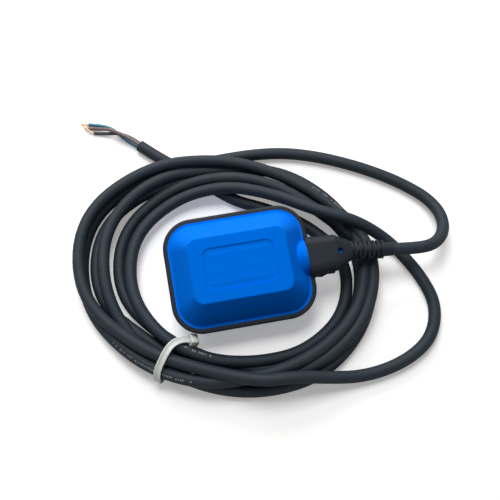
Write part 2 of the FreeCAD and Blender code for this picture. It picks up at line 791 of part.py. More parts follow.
def tie_reach():
    """Reach of the middle of the turns where the tie goes round them."""
    at = coil_bearings.index(tie_bearing)
    return (coil_inner[at] + coil_outer[at]) / 2


def on_tie(shape):
    """Moves a shape drawn across +X at the coil's centre to the tie's place."""
    shape.translate(Vector(tie_reach(), 0, 0))
    shape.rotate(Vector(0, 0, 0), Vector(0, 0, 1), tie_bearing)
    shape.translate(Vector(coil_centre[0], coil_centre[1], 0))
    return shape


def tie_loop(grow, z0, z1, corner):
    half = tie_span / 2 + grow
    outline = rounded_outline(2 * half, z1 - z0, corner, -tie_width / 2)
    face = Part.Face(outline)
    loop = face.extrude(Vector(0, 0, tie_width))
    loop.rotate(Vector(0, 0, 0), Vector(1, 0, 0), 90)
    loop.translate(Vector(0, 0, (z0 + z1) / 2))
    return loop


def tie_band():
    """Strap of the tie: a flat loop round the turns."""
    outer = tie_loop(tie_thickness, 0, coil_height + tie_thickness, coil_shoulder)
    inner = tie_loop(0, tie_thickness, coil_height, coil_shoulder - tie_thickness)
    return on_tie(outer.cut(inner))


def cable_tie():
    """Strap with its ratchet head on the shoulder beside the float, the strap's end cut just outside."""
    across, along, thick = tie_head
    head = block(-along / 2, along / 2, -across / 2, across / 2, -thick / 2, thick / 2)
    window = 2 * tie_thickness
    head = head.cut(block(-window / 2, window / 2, -tie_width / 2, tie_width / 2, -thick / 2, thick / 2))
    tip = block(-window / 2, 0, -tie_width / 2 + 0.2, tie_width / 2 - 0.2, -thick / 2, thick / 2 + tie_tip)
    head = head.fuse(tip)
    head.rotate(Vector(0, 0, 0), Vector(0, 1, 0), -45)
    head.translate(Vector(-tie_span / 2, 0, coil_height))
    return tie_band().fuse(on_tie(head)).removeSplitter()


# ---------------------------------------------------------------- build

def float_nodes():
    upper = shell()
    nodes = {
        "upper_shell": upper,
        "lower_shell": mirrored(upper),
        "seam_and_boot": seam_and_boot(),
        "capsule_base": capsule_base(),
        "capsule_lid": capsule_lid(),
        "capsule_gasket": capsule_gasket(),
        "cord_grommet": cord_grommet(),
        "ball_track": ball_track(),
        "steel_ball": steel_ball(),
        "switch_case": switch_case(),
        "switch_cover": switch_cover(),
        "switch_screws": switch_screws(),
        "switch_plunger": switch_plunger(),
        "switch_lever": switch_lever(),
        "lever_pin": lever_pin(),
        "contact_blade": contact_blade(),
        "terminal_com": terminal_com(),
        "terminal_no": terminal_no(),
        "terminal_nc": terminal_nc(),
        "cord_clamp": cord_clamp(),
        "clamp_screws": clamp_screws(),
        "cord_in_float": cord_in_float(),
    }
    nodes.update(inner_wires())
    return {name: seated(shape) for name, shape in nodes.items()}


def cord_nodes():
    routes = {
        "cord_lead": (cord_lead_route(), cord_diameter),
        "cord_loop": (loop_route, cord_diameter),
        "cord_tail": (tail_route, cord_diameter),
    }
    routes.update({name: (route, core_diameter) for name, route in core_routes.items()})
    routes.update({name: (route, strand_diameter) for name, route in copper_routes.items()})
    nodes = {"cord_coil": coil(), "cable_tie": cable_tie()}
    for name, (route, diameter) in routes.items():
        nodes[name], radius, length, share = tube(route, diameter)
        print(f"{name}: tightest arc {radius:.1f}, length {length:.1f}, "
              f"volume over section x length {share:.4f}")
    return nodes


def main():
    os.makedirs("parts", exist_ok=True)
    nodes = float_nodes()
    nodes.update(cord_nodes())
    for name, shape in nodes.items():
        if not shape.isValid():
            print("not valid:", name)
        shape.exportStep(f"parts/{name}.step")
    travel = ball_travel / 1000
    mouth, direction = boot_mouth()
    print(f"nodes {len(nodes)}, seat height {seat_height():.3f}, float_x {float_x:.4f}")
    print("boot mouth", [round(v, 3) for v in mouth], "direction", [round(v, 4) for v in direction])
    lever_swing = pressed_angle - rest_angle
    print(f"lever {math.degrees(lever_swing):.3f} deg, {lever_swing / travel:.4f} rad/m")
    print(f"plunger {plunger_stroke:.4f} mm, {plunger_stroke / ball_travel:.5f} m/m")
    print(f"blade {math.degrees(blade_swing):.3f} deg, {blade_swing / travel:.4f} rad/m")
    for label, place in (("lever pin", (pivot_x, pivot_y, 0)), ("blade hinge", (pivot_x, blade_y, 0)),
                         ("lower face", (0, 0, -half_height))):
        point = seated(Part.Vertex(*place)).Point
        print(f"{label} at {point.x:.4f}, {point.y:.4f}, {point.z:.4f}")


main()
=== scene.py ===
# Float level switch: a blue moulded float with a black rubber seam band and boot, lying inside the turns of
# its own rubber cord. The turns are held by one nylon tie, and the far end is stripped to three cores.
# Metres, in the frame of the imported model.
import math

import bmesh
import bpy
import numpy as np
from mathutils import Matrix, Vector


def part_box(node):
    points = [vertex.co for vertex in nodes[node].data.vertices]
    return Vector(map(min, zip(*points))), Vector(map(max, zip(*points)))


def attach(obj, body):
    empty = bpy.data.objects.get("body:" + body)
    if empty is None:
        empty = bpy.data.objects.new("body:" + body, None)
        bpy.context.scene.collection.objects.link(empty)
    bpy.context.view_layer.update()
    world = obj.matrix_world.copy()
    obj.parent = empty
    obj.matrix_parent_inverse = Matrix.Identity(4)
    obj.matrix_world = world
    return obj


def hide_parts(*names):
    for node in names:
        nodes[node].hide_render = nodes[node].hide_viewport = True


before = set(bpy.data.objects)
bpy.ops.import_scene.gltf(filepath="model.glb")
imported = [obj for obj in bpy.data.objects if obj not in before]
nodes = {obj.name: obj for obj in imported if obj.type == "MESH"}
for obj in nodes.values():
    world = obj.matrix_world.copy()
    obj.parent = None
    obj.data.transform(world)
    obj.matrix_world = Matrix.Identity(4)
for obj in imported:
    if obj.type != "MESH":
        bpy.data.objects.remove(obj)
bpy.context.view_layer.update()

# ------------------------------------------------------------------ camera, floor and lights
# A close view from in front and well above: the float's face is seen nearly square on, and the near
# slopes of the float and the near side of each turn show. The floor is a plain white sheet.
camera_data = bpy.data.cameras.new("camera")
camera_data.lens = 52.85
camera_data.sensor_width = 36.0
camera_data.clip_start = 0.02
camera = bpy.data.objects.new("camera", camera_data)
camera.location = (-0.0508, -0.1639, 0.4909)
camera.rotation_euler = (math.radians(21.0), 0.0, math.radians(-10.19))
bpy.context.scene.collection.objects.link(camera)
bpy.context.scene.camera = camera


def material(name):
    """A new node material and its Principled shader."""
    made = bpy.data.materials.new(name)
    made.use_nodes = True
    return made, made.node_tree.nodes["Principled BSDF"]


def add(tree, kind, settings=None, **values):
    """A node of this kind in the tree, with its properties and unlinked sockets set."""
    made = tree.nodes.new(kind)
    for key, value in (settings or {}).items():
        setattr(made, key, value)
    for key, value in values.items():
        made.inputs[key.replace("_", " ")].default_value = value
    return made


floor_mesh = bpy.data.meshes.new("floor")
floor_half = 4.0
floor_mesh.from_pydata([(x * floor_half, y * floor_half, 0.0)
                        for x, y in ((-1, -1), (1, -1), (1, 1), (-1, 1))], [], [(0, 1, 2, 3)])
floor = bpy.data.objects.new("floor", floor_mesh)
bpy.context.scene.collection.objects.link(floor)
floor_paint, floor_shader = material("floor_white")
tree = floor_paint.node_tree
tree.nodes.remove(floor_shader)
to_camera = add(tree, "ShaderNodeLightPath")
sheet_diffuse = add(tree, "ShaderNodeBsdfDiffuse", Color=(0.80, 0.80, 0.80, 1))
seen_diffuse = add(tree, "ShaderNodeBsdfDiffuse", Color=(1.0, 1.0, 0.99, 1))
seen_glow = add(tree, "ShaderNodeEmission", Color=(1, 1, 1, 1))
seen_sum = add(tree, "ShaderNodeAddShader")
# Past the object's own shadow the sheet glows up to plain white, so no grey edge shows at the horizon
floor_place = add(tree, "ShaderNodeTexCoord")
far_off = add(tree, "ShaderNodeVectorMath", {"operation": "LENGTH"})
glow_rise = add(tree, "ShaderNodeMapRange", {"interpolation_type": "SMOOTHSTEP"},
                From_Min=0.3, From_Max=1.0, To_Min=0.30, To_Max=1.0)
tree.links.new(floor_place.outputs["Object"], far_off.inputs[0])
tree.links.new(far_off.outputs["Value"], glow_rise.inputs["Value"])
tree.links.new(glow_rise.outputs[0], seen_glow.inputs["Strength"])
tree.links.new(seen_diffuse.outputs[0], seen_sum.inputs[0])
tree.links.new(seen_glow.outputs[0], seen_sum.inputs[1])
pick = add(tree, "ShaderNodeMixShader")
tree.links.new(to_camera.outputs["Is Camera Ray"], pick.inputs[0])
tree.links.new(sheet_diffuse.outputs[0], pick.inputs[1])
tree.links.new(seen_sum.outputs[0], pick.inputs[2])
tree.links.new(pick.outputs[0], tree.nodes["Material Output"].inputs["Surface"])
floor_mesh.materials.append(floor_paint)

# A dim white room lights the object; the camera, reflections and clear pieces see it as plain white
world = bpy.data.worlds.new("studio")
world.use_nodes = True
bpy.context.scene.world = world
tree = world.node_tree
backdrop = tree.nodes["Background"]
backdrop.inputs["Color"].default_value = (1.0, 1.0, 1.0, 1)
backdrop.inputs["Strength"].default_value = 0.12
seen = add(tree, "ShaderNodeBackground", Color=(1, 1, 1, 1), Strength=1.0)
mixer = add(tree, "ShaderNodeMixShader")
path = add(tree, "ShaderNodeLightPath")
either = add(tree, "ShaderNodeMath", {"operation": "ADD"})
any_of = add(tree, "ShaderNodeMath", {"operation": "ADD", "use_clamp": True})
tree.links.new(path.outputs["Is Camera Ray"], either.inputs[0])
tree.links.new(path.outputs["Is Glossy Ray"], either.inputs[1])
tree.links.new(either.outputs[0], any_of.inputs[0])
tree.links.new(path.outputs["Is Transmission Ray"], any_of.inputs[1])
tree.links.new(any_of.outputs[0], mixer.inputs[0])
tree.links.new(backdrop.outputs[0], mixer.inputs[1])
tree.links.new(seen.outputs[0], mixer.inputs[2])
tree.links.new(mixer.outputs[0], tree.nodes["World Output"].inputs["Surface"])


def softbox(name, place, aim, size, power):
    """An area lamp at place, turned to face aim."""
    data = bpy.data.lights.new(name, "AREA")
    data.shape = "RECTANGLE"
    data.size, data.size_y = size
    data.energy = power
    lamp = bpy.data.objects.new(name, data)
    lamp.location = place
    toward = np.array(aim) - np.array(place)
    lamp.rotation_euler = (math.atan2(math.hypot(toward[0], toward[1]), -toward[2]), 0.0,
                           math.atan2(-toward[0], toward[1]))
    bpy.context.scene.collection.objects.link(lamp)


softbox("far_softbox", (-0.17, 1.46, 0.85), (0, 0, 0.02), (1.6, 0.8), 19.5)
softbox("high_softbox", (-0.09, 0.63, 1.36), (0, 0, 0.02), (0.8, 0.7), 14.0)
bpy.context.scene.view_settings.view_transform = "Standard"

# ------------------------------------------------------------------ free cord
# Three-core rubber cord, 8.5 mm across. It leaves the boot, makes an open loop over the floor and runs round
# in six loose turns, the fifth of which breaks out in a second loop. The tail leaves under the turns.
cord_thickness = 0.0085
cord_exit = (0.0768, -0.0039, 0.0239)
# Height of the middle of a strand that lies on the floor
on_floor = 0.0043
lead_points = [
    cord_exit, (0.0946, -0.0063, 0.0233), (0.1080, -0.0040, 0.0205), (0.1180, 0.0060, 0.0152),
    (0.1215, 0.0210, 0.0094), (0.1165, 0.0360, 0.0056), (0.1045, 0.0490, on_floor), (0.0885, 0.0612, on_floor),
    (0.0680, 0.0735, on_floor), (0.0440, 0.0848, on_floor), (0.0200, 0.0922, on_floor),
    (-0.0040, 0.0948, on_floor),
]
breakout_points = [
    (-0.0080, -0.0770, 0.0190), (0.0060, -0.0785, 0.0150), (0.0210, -0.0805, 0.0095),
    (0.0380, -0.0820, 0.0050), (0.0570, -0.0805, on_floor), (0.0755, -0.0750, on_floor),
    (0.0900, -0.0660, on_floor), (0.0982, -0.0530, on_floor), (0.1008, -0.0385, on_floor),
    (0.0970, -0.0225, on_floor), (0.0900, -0.0065, on_floor), (0.0815, 0.0070, 0.0052),
    (0.0730, 0.0145, 0.0095), (0.0640, 0.0195, 0.0155), (0.0540, 0.0245, 0.0200), (0.0420, 0.0300, 0.0208),
]
tail_points = [
    (-0.0190, 0.0580, on_floor), (-0.0312, 0.0680, on_floor), (-0.0470, 0.0830, on_floor),
    (-0.0575, 0.0920, on_floor), (-0.0665, 0.1000, on_floor), (-0.0755, 0.1082, on_floor),
    (-0.0842, 0.1170, on_floor),
]
turns_middle = (-0.028, 0.003)
# Reach from the middle and height, in mm, at every 30 degrees: four whole turns from 90 round to 60, then
# the fifth up to where it breaks out, the two points after it comes back, and the last whole turn
turn_table = [
    [(88.5, 4.3), (99.6, 5), (114.8, 4.3), (107.8, 4.3), (91.6, 8.4), (81.0, 12.5),
     (73.2, 13.8), (76.0, 14.2), (83.8, 13), (86.5, 12.5), (85, 4.3), (84.1, 4.3)],
    [(80.2, 4.8), (92.6, 12), (98.9, 12.1), (91.8, 12.1), (83.5, 5.3), (80.2, 5.3),
     (82, 4.3), (88.5, 4.3), (91.7, 4.3), (92, 4.3), (69.8, 12), (68.6, 12.3)],
    [(72.3, 12.7), (82.0, 4.6), (88.1, 4.3), (82.9, 4.3), (67.3, 5.3), (61.9, 5.3),
     (67.8, 4.3), (77.5, 4.3), (83.5, 4.3), (84.5, 4.3), (75.5, 4.3), (72, 4.3)],
    [(72.3, 4.3), (89.5, 4.3), (104.3, 4.3), (98.9, 4.3), (75.3, 5.3), (70.4, 5.3),
     (76, 7.5), (82.5, 11), (90.8, 12.5), (93, 12.4), (80, 11.5), (78.4, 10.8)],
    [(85.6, 12.5), (102.4, 13), (117.4, 12.3), (108.2, 12.7), (83.6, 13), (71.5, 15.5), (76.5, 20)],
    [(65.1, 20), (59.7, 15)],
    [(64, 12.7), (71.5, 8), (77.8, 8.4), (75, 10), (68.9, 12.5), (64.2, 12.4),
     (62.3, 7.5), (69.3, 5.5), (76, 4.3), (73.5, 4.3), (58.5, 4.3), (52, 4.3)],
]
turn_step = 30.0
# A control point stands outside the turn that it makes, by this much for points that far round from each other
outside = 1 / math.cos(math.radians(turn_step / 2))
# The spline is drawn in this many steps from one control point to the next
spline_steps = 10


def turn_points(rows, first):
    """Points round the middle, at first and at each step on: reach along the bearing, then height."""
    reach, height = np.array(rows).T / 1000
    bearing = np.radians(first + turn_step * np.arange(len(rows)))
    return np.stack([turns_middle[0] + outside * reach * np.cos(bearing),
                     turns_middle[1] + outside * reach * np.sin(bearing), height], 1).tolist()


cord_points = list(lead_points)
for turn in turn_table[:4]:
    cord_points += turn_points(turn, 90)
cord_points += turn_points(turn_table[4], 90) + breakout_points + turn_points(turn_table[5], 30)
cord_points += turn_points(turn_table[6], 90) + tail_points


def spline(name, points, thickness):
    """One open NURBS spline through the middle of a round piece; its points are control points."""
    data = bpy.data.curves.new(name, "CURVE")
    data.dimensions = "3D"
    line = data.splines.new("NURBS")
    line.points.add(len(points) - 1)
    line.points.foreach_set("co", [c for p in points for c in (*p, 1.0)])
    line.order_u = 3
    line.use_endpoint_u = True
    line.resolution_u = spline_steps
    data.resolution_u = spline_steps
    data.bevel_depth = thickness / 2
    data.bevel_resolution = 8
    data.use_fill_caps = True
    made = bpy.data.objects.new(name, data)
    bpy.context.scene.collection.objects.link(made)
    return made


def centreline(name, points):
    """Points along a NURBS spline with no thickness, as Blender works it out."""
    made = spline(name, points, 0.0)
    mesh = bpy.data.meshes.new_from_object(made)
    line = np.zeros(3 * len(mesh.vertices))
    mesh.vertices.foreach_get("co", line)
    bpy.data.objects.remove(made)
    bpy.data.meshes.remove(mesh)
    return line.reshape(-1, 3)


cord_line = centreline("cord_line", cord_points)
cord = spline("cord", cord_points, cord_thickness)

# Dust, fine pits and rubbed places are one group, placed in each rubber and plastic with its own values
wear = bpy.data.node_groups.new("surface_wear", "ShaderNodeTree")
for label, kind, default in (
        ("Base", "NodeSocketColor", (0.03, 0.03, 0.03, 1)),
        ("Rubbed", "NodeSocketColor", (0.08, 0.08, 0.08, 1)),
        ("Rubbed share", "NodeSocketFloat", 0.3), ("Grain scale", "NodeSocketFloat", 900.0),
        ("Roughness", "NodeSocketFloat", 0.5), ("Roughness swing", "NodeSocketFloat", 0.1)):
    wear.interface.new_socket(label, in_out="INPUT", socket_type=kind).default_value = default
wear.interface.new_socket("Color", in_out="OUTPUT", socket_type="NodeSocketColor")
wear.interface.new_socket("Roughness", in_out="OUTPUT", socket_type="NodeSocketFloat")
wear.interface.new_socket("Height", in_out="OUTPUT", socket_type="NodeSocketFloat")
given, given_out = wear.nodes.new("NodeGroupInput"), wear.nodes.new("NodeGroupOutput")
where = add(wear, "ShaderNodeTexCoord")
grain = add(wear, "ShaderNodeTexNoise", Detail=4.0, Roughness=0.6)
clouds = add(wear, "ShaderNodeTexNoise", Scale=38.0, Detail=5.0, Roughness=0.62)
rub = add(wear, "ShaderNodeMapRange", From_Min=0.44, From_Max=0.72, To_Min=0.0, To_Max=1.0)
share = add(wear, "ShaderNodeMath", {"operation": "MULTIPLY"})
tint = add(wear, "ShaderNodeMix", {"data_type": "RGBA"})
swing = add(wear, "ShaderNodeMath", {"operation": "MULTIPLY_ADD"})
centred = add(wear, "ShaderNodeMath", {"operation": "SUBTRACT"})
centred.inputs[1].default_value = 0.5
both = add(wear, "ShaderNodeMath", {"operation": "MULTIPLY_ADD"})
both.inputs[1].default_value = 0.35
wear.links.new(where.outputs["Object"], grain.inputs["Vector"])
wear.links.new(where.outputs["Object"], clouds.inputs["Vector"])
wear.links.new(given.outputs["Grain scale"], grain.inputs["Scale"])
wear.links.new(clouds.outputs["Fac"], rub.inputs["Value"])
wear.links.new(rub.outputs[0], share.inputs[0])
wear.links.new(given.outputs["Rubbed share"], share.inputs[1])
# Inputs 6 and 7 and output 2 are the Mix node's colours
wear.links.new(share.outputs[0], tint.inputs[0])
wear.links.new(given.outputs["Base"], tint.inputs[6])
wear.links.new(given.outputs["Rubbed"], tint.inputs[7])
wear.links.new(tint.outputs[2], given_out.inputs["Color"])
wear.links.new(clouds.outputs["Fac"], centred.inputs[0])
wear.links.new(centred.outputs[0], swing.inputs[0])
wear.links.new(given.outputs["Roughness swing"], swing.inputs[1])
wear.links.new(given.outputs["Roughness"], swing.inputs[2])
wear.links.new(swing.outputs[0], given_out.inputs["Roughness"])
wear.links.new(clouds.outputs["Fac"], both.inputs[0])
wear.links.new(grain.outputs["Fac"], both.inputs[2])
wear.links.new(both.outputs[0], given_out.inputs["Height"])


def worn(name, base, rubbed, share, grain, roughness, swing, bump, depth=0.00008, **shader_values):
    """Material with the surface wear group feeding colour, roughness and a fine bump of this depth, in m."""
    made, shader = material(name)
    tree = made.node_tree
    group = add(tree, "ShaderNodeGroup", {"node_tree": wear})
    for label, value in (("Base", (*base, 1)), ("Rubbed", (*rubbed, 1)), ("Rubbed share", share),
                         ("Grain scale", grain), ("Roughness", roughness), ("Roughness swing", swing)):
        group.inputs[label].default_value = value
    relief = add(tree, "ShaderNodeBump", Strength=bump, Distance=depth)
    tree.links.new(group.outputs["Color"], shader.inputs["Base Color"])
    tree.links.new(group.outputs["Roughness"], shader.inputs["Roughness"])
    tree.links.new(group.outputs["Height"], relief.inputs["Height"])
    tree.links.new(relief.outputs["Normal"], shader.inputs["Normal"])
    for key, value in shader_values.items():
        shader.inputs[key.replace("_", " ")].default_value = value
    return made


def finish_nodes(made, slot, *names):
    """Puts one material on every named solid."""
    for name in names:
        nodes[name].data.materials.clear()
        nodes[name].data.materials.append(made)


cord_jacket = worn("cord_jacket", (0.010, 0.018, 0.027), (0.030, 0.038, 0.046), 0.45, 1400.0, 0.62, 0.14,
                   0.35, Specular_IOR_Level=0.28)
cord.data.materials.append(cord_jacket)
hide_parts("cord_lead", "cord_coil", "cord_loop", "cord_tail")
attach(cord, "housing")
finish_nodes(cord_jacket, "cord_rubber", "cord_in_float")

# ------------------------------------------------------------------ stripped end
# The jacket ends in a square cut. Three insulated cores, 2.6 mm across, come out twisted once round each
# other, and a hook of bare copper strands bends back from the black one.
core_radius = 0.0013
core_routes = {
    "blue": [(-0.0790, 0.1118, 0.0033), (-0.0852, 0.1161, 0.0032), (-0.0893, 0.1203, 0.0021),
             (-0.0942, 0.1254, 0.0015), (-0.1000, 0.1332, 0.0015), (-0.1056, 0.1386, 0.0015),
             (-0.1134, 0.1418, 0.0015), (-0.1208, 0.1436, 0.0015)],
    "brown": [(-0.0790, 0.1118, 0.0060), (-0.0844, 0.1168, 0.0060), (-0.0887, 0.1211, 0.0069),
              (-0.0934, 0.1249, 0.0076), (-0.0992, 0.1294, 0.0078), (-0.1054, 0.1342, 0.0059),
              (-0.1130, 0.1381, 0.0024), (-0.1210, 0.1402, 0.0015)],
    "black": [(-0.0775, 0.1132, 0.0037), (-0.0830, 0.1181, 0.0037), (-0.0871, 0.1227, 0.0037),
              (-0.0922, 0.1270, 0.0040), (-0.0986, 0.1302, 0.0046), (-0.1050, 0.1320, 0.0031),
              (-0.1115, 0.1341, 0.0016), (-0.1174, 0.1356, 0.0015)],
}
copper_routes = {
    "blue": [(-0.1202, 0.1434, 0.0015), (-0.1235, 0.1443, 0.0015), (-0.1262, 0.1450, 0.0014)],
    "brown": [(-0.1204, 0.1400, 0.0015), (-0.1225, 0.1406, 0.0015), (-0.1244, 0.1411, 0.0014)],
    "black": [(-0.1168, 0.1354, 0.0015), (-0.1200, 0.1368, 0.0026), (-0.1221, 0.1394, 0.0039),
              (-0.1229, 0.1414, 0.0041), (-0.1231, 0.1430, 0.0040)],
}


def across(line):
    """Two unit directions square to the line at each point: one level, one square to it and to the line."""
    along = np.gradient(line, axis=0)
    along /= np.linalg.norm(along, axis=1)[:, None]
    level = np.cross(along, (0.0, 0.0, 1.0))
    level /= np.linalg.norm(level, axis=1)[:, None]
    return level, np.cross(level, along)


def grid_mesh(name, grid, close_round=True, caps=True):
    """Mesh of a grid of points, rows along the piece and columns round it, with flat ends if it has caps."""
    rows, columns = grid.shape[:2]
    row, column = np.meshgrid(np.arange(rows - 1), np.arange(columns if close_round else columns - 1),
                              indexing="ij")
    after = (column + 1) % columns
    here, next_row = row * columns, (row + 1) * columns
    faces = np.stack([here + column, here + after, next_row + after, next_row + column], -1)
    faces = faces.reshape(-1, 4).tolist()
    if caps:
        faces += [list(range(columns))[::-1], list(range((rows - 1) * columns, rows * columns))]
    mesh = bpy.data.meshes.new(name)
    mesh.from_pydata(grid.reshape(-1, 3).tolist(), [], faces)
    mesh.polygons.foreach_set("use_smooth", [len(p.vertices) == 4 for p in mesh.polygons])
    return mesh


def round_tube(line, radius, columns=16, twist=0.0, lay=(0.0, 0.0)):
    """Points of a tube: at each step the line, plus radius times the cosine and sine of the angle round it.
    The lay carries the tube's middle off the line by its first value, at an angle that starts from its
    second and winds by twist radians per metre."""
    level, upright = across(line)
    run = np.concatenate([[0.0], np.cumsum(np.linalg.norm(np.diff(line, axis=0), axis=1))])
    wind = twist * run + lay[1]
    middle = line + lay[0] * (np.cos(wind)[:, None] * level + np.sin(wind)[:, None] * upright)
    angle = np.linspace(0, 2 * np.pi, columns, endpoint=False)
    return (middle[:, None] + radius * (np.cos(angle)[None, :, None] * level[:, None]
                                        + np.sin(angle)[None, :, None] * upright[:, None]))


def join(name, meshes):
    """One object made of several meshes, at the origin."""
    parts = []
    for mesh in meshes:
        part = bpy.data.objects.new(name, mesh)
        bpy.context.scene.collection.objects.link(part)
        parts.append(part)
    with bpy.context.temp_override(active_object=parts[0], selected_editable_objects=parts,
                                   selected_objects=parts, object=parts[0]):
        if len(parts) > 1:
            bpy.ops.object.join()
    return parts[0]


insulation = {
    colour: worn("insulation_" + colour, base, rubbed, 0.4, 1800.0, roughness, 0.1, 0.2)
    for colour, base, rubbed, roughness in (
        ("blue", (0.026, 0.200, 0.310), (0.07, 0.27, 0.36), 0.38),
        ("brown", (0.150, 0.100, 0.095), (0.24, 0.17, 0.155), 0.40),
        ("black", (0.018, 0.024, 0.030), (0.05, 0.06, 0.07), 0.42))
}
copper_strand = worn("copper_strands", (0.72, 0.48, 0.26), (0.88, 0.76, 0.60), 0.8, 2600.0, 0.34, 0.2, 0.3,
                     Metallic=0.85)
# Six strands wound round one, this far from its middle, with the twist in radians per metre
strand_radius, strand_reach, strand_twist = 0.00027, 0.00052, 900.0
strand_lays = [(0.0, 0.0)] + [(strand_reach, k * math.pi / 3) for k in range(6)]
for colour, route in core_routes.items():
    line = centreline("core_line", route)
    piece = join("core_" + colour + "_wire", [grid_mesh("core_" + colour, round_tube(line, core_radius))])
    piece.data.materials.append(insulation[colour])
    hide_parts("core_" + colour)
    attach(piece, "housing")
    line = centreline("strand_line", copper_routes[colour])
    strands = [grid_mesh("strand", round_tube(line, strand_radius, 8, strand_twist, lay))
               for lay in strand_lays]
    piece = join("copper_" + colour + "_strands", strands)
    piece.data.materials.append(copper_strand)
    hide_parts("copper_" + colour)
    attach(piece, "housing")

# ------------------------------------------------------------------ faded jacket print
# What is left of the pale ink on the jacket: short dashes and dots with no letters in them, rolled on in
# rows along the cord and half rubbed away.
dash_length, dash_height, dash_drift = (0.0005, 0.0012), (0.0007, 0.0017), (-0.0002, 0.0002)
close_gap, word_gap, close_share, lost_share = (0.0005, 0.0009), (0.002, 0.004), 0.86, 0.15
ink_radius = cord_thickness / 2 + 0.00003


def ink_row(start, toward, lean, marks, seed):
    """Meshes of a row of ink marks, at steps along the centreline from the point nearest start. Each patch
    is the line, plus the ink's radius times an angle's cosine in the lean direction and its sine across."""
    chance = np.random.default_rng(seed)
    line, patches = cord_line, []
    step = np.linalg.norm(np.diff(line, axis=0), axis=1)
    run = np.concatenate([[0.0], np.cumsum(step)])
    near = int(np.argmin(np.linalg.norm(line - np.array(start), axis=1)))
    way = 1.0 if np.dot(line[near + 1] - line[near], np.array(toward) - np.array(start)) > 0 else -1.0
    at = run[near]
    for _ in range(marks):
        long, tall = chance.uniform(*dash_length), chance.uniform(*dash_height)
        gap = chance.uniform(*close_gap) if chance.random() < close_share else chance.uniform(*word_gap)
        spots = np.linspace(at, at + way * long, 3)
        at += way * (long + gap)
        if chance.random() < lost_share:
            continue
        middle = np.stack([np.interp(spots, run, line[:, k]) for k in range(3)], 1)
        ahead = np.stack([np.interp(spots + 0.001, run, line[:, k]) for k in range(3)], 1) - middle
        ahead /= np.linalg.norm(ahead, axis=1)[:, None]
        face = np.array(lean) - (ahead @ np.array(lean))[:, None] * ahead
        face /= np.linalg.norm(face, axis=1)[:, None]
        side = np.cross(ahead, face)
        angle = (np.linspace(-0.5, 0.5, 4) * tall + chance.uniform(*dash_drift)) / ink_radius
        grid = (middle[:, None] + ink_radius * (np.cos(angle)[None, :, None] * face[:, None]
                                                + np.sin(angle)[None, :, None] * side[:, None]))
        patches.append(grid_mesh("ink", grid, close_round=False, caps=False))
    return patches


ink_patches = []
for start, toward, lean, marks, seed in (
        ((-0.1215, -0.0290, 0.0110), (-0.088, -0.058, 0.011), (-0.25, -0.45, 0.86), 38, 3),
        ((-0.0750, -0.0460, 0.0120), (-0.060, -0.052, 0.012), (0.10, 0.25, 0.96), 10, 5),
        ((-0.1405, 0.0280, 0.0120), (-0.136, 0.060, 0.012), (-0.80, 0.0, 0.60), 16, 8),
        ((0.0340, 0.0580, 0.0110), (0.052, 0.034, 0.011), (0.35, 0.40, 0.85), 16, 13)):
    ink_patches += ink_row(start, toward, lean, marks, seed)
jacket_print = join("jacket_print", ink_patches)
print_ink = worn("print_ink", (0.24, 0.25, 0.25), (0.06, 0.07, 0.08), 1.0, 2400.0, 0.6, 0.1, 0.2)
jacket_print.data.materials.append(print_ink)
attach(jacket_print, "housing")

# ------------------------------------------------------------------ nylon tie
# Milky natural nylon, 4.8 mm wide: the strap is drawn round the turns and leans a little along them. Its
# head, with a slot for the strap, sits at the inner edge, and the cut tip stands out of the slot.
strap_width, strap_thickness = 0.0048, 0.00115
head_middle, head_length, head_width, head_height = (-0.0669, -0.0402, 0.0139), 0.0056, 0.0078, 0.0054
slot_width, slot_height = 0.0049, 0.0013
# The way along the turns that the strap's width leans, and the way that the strap passes through the head
leaning, through_head = np.array((0.70, -0.70, -0.12)), (0.85, -0.07, -0.53)
# Bearing, reach and height of the strap's middle, from the slot over the turns, under them and back up
strap_stations = [
    (229.6, 56.6, 12.4), (228.0, 58.2, 13.9), (225.6, 59.8, 15.6), (222.8, 62.3, 17.3), (220.8, 66.4, 19.0),
    (220.3, 71.5, 19.9), (221.0, 77.0, 20.0), (221.8, 82.2, 18.9), (222.6, 87.9, 16.7), (223.8, 91.6, 13.0),
    (224.6, 93.0, 8.8), (224.4, 92.2, 4.4), (224.0, 88.8, 1.2), (224.2, 82.0, 0.7), (225.0, 74.0, 0.7),
    (226.0, 66.0, 0.7), (226.8, 61.0, 1.4), (227.2, 59.0, 4.6), (227.8, 58.3, 8.4), (228.2, 58.2, 11.4),
]
bearing, reach, height = np.array(strap_stations).T
strap_line = centreline("strap_line", np.stack([
    turns_middle[0] + reach / 1000 * np.cos(np.radians(bearing)),
    turns_middle[1] + reach / 1000 * np.sin(np.radians(bearing)), height / 1000], 1).tolist())


def strap(line, width, thickness, leaning):
    """Points of a flat strap: the line, plus a section that is a rounded bar with raised rims on its outer
    face. The width runs in the leaning direction made square to the line, the thickness square to both."""
    along = np.gradient(line, axis=0)
    along /= np.linalg.norm(along, axis=1)[:, None]
    wide = leaning - (along @ leaning)[:, None] * along
    wide /= np.linalg.norm(wide, axis=1)[:, None]
    out = np.cross(along, wide)
    w, t = width / 2, thickness / 2
    rim = 0.18 * thickness
    section = np.array([
        (-w, -0.6 * t), (-0.94 * w, -t), (0, -t), (0.94 * w, -t), (w, -0.6 * t), (w, 0.6 * t), (0.94 * w, t),
        (0.72 * w, t), (0.62 * w, t - rim), (0, t - rim), (-0.62 * w, t - rim), (-0.72 * w, t), (-0.94 * w, t),
        (-w, 0.6 * t)])
    across_way, out_way = section[None, :, 0, None], section[None, :, 1, None]
    return line[:, None] + across_way * wide[:, None] + out_way * out[:, None]


